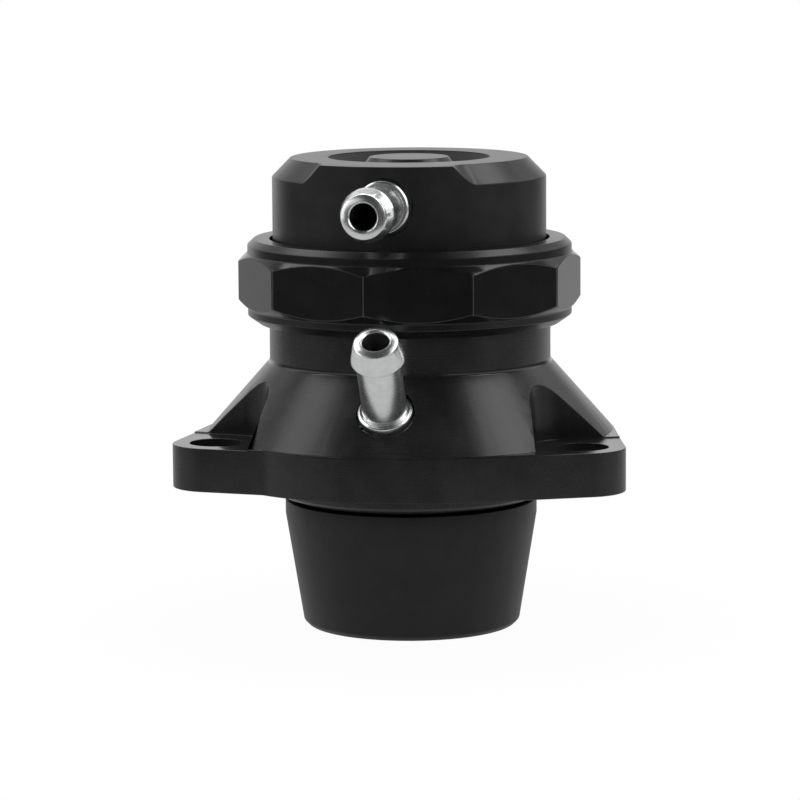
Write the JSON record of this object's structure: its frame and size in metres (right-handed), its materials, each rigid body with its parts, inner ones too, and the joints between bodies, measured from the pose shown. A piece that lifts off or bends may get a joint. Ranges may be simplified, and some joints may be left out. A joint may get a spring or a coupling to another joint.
{
  "type": "blow off valve",
  "caption": "Spring loaded piston valve with a conical flanged body, ten-sided union ring, bevelled cap and hose barbs; vents boost air when vacuum lifts the piston.",
  "frame": {"origin": "centre of the bolt circle on the flange's underside, on the piston's axis", "axes": "+Z along the piston's axis towards the cap, -Y towards the hose barbs at the front"},
  "size_m": [0.0556, 0.0614, 0.0586],
  "materials": {
    "black_anodised": "black anodised, fine turned marks",
    "satin_black_anodised": "black anodised, satin",
    "zinc_plate": "bright zinc plate",
    "spring_steel": "drawn wire",
    "seal_rubber": "moulded nitrile",
    "guide_plastic": "filled slide plastic"
  },
  "bodies": {
    "housing": {"body": "black_anodised", "lock_ring": "black_anodised", "cap": "black_anodised", "upper_hose_barb": "zinc_plate", "lower_hose_barb": "zinc_plate", "cap_o_ring": "seal_rubber", "flange_o_ring": "seal_rubber", "spring": "spring_steel"},
    "piston": {"piston": "satin_black_anodised", "piston_head_o_ring": "seal_rubber", "piston_wear_ring": "guide_plastic", "piston_nose_o_ring": "seal_rubber", "spring_shim": "spring_steel"}
  },
  "joints": [
    {"name": "piston_slide", "type": "slide", "parent": "housing", "child": "piston", "axis": [0, 0, 1], "range_m": [0, 0.008], "stiffness_N_per_m": 2500, "springref_m": -0.008, "deforming": ["spring"]}
  ]
}
